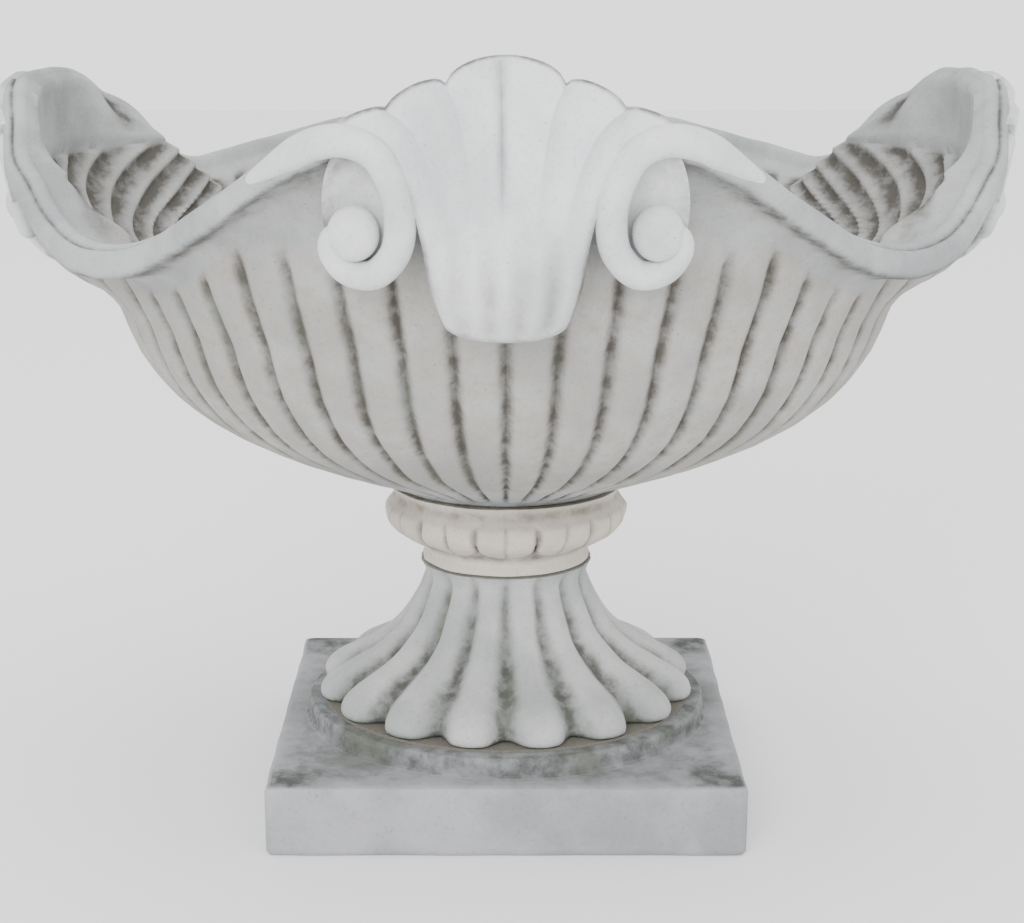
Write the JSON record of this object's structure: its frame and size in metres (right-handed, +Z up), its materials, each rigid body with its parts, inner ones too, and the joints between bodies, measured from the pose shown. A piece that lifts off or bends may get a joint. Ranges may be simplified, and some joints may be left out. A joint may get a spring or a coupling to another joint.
{
  "type": "chalice vase",
  "caption": "Cast-stone garden chalice vase: wide ribbed bowl with a waved rim, side shells and a front palmette between scrolls, on a leaf collar, fluted foot and square plinth.",
  "frame": {"origin": "bottom centre, where the vase's axis meets the underside of the plinth", "axes": "+Z up along the vase's axis, -Y towards the front palmette, +X towards the right-hand side shell as seen from the front"},
  "size_m": [0.7086, 0.7102, 0.551],
  "materials": {
    "plinth_stone": "matte",
    "foot_stone": "matte",
    "collar_stone": "matte",
    "bowl_stone": "matte",
    "mortar": "rough",
    "tie_steel": "satin",
    "seal_rubber": "matte"
  },
  "bodies": {
    "root": {"plinth": "plinth_stone", "mortar_bed_plinth": "mortar", "foot": "foot_stone", "mortar_bed_collar": "mortar", "collar": "collar_stone", "mortar_bed_bowl": "mortar", "bowl": "bowl_stone", "drain_tie_tube": "tie_steel", "top_seal": "seal_rubber", "top_washer": "tie_steel", "top_backnut": "tie_steel", "bottom_washer": "tie_steel", "bottom_backnut": "tie_steel"}
  },
  "joints": []
}
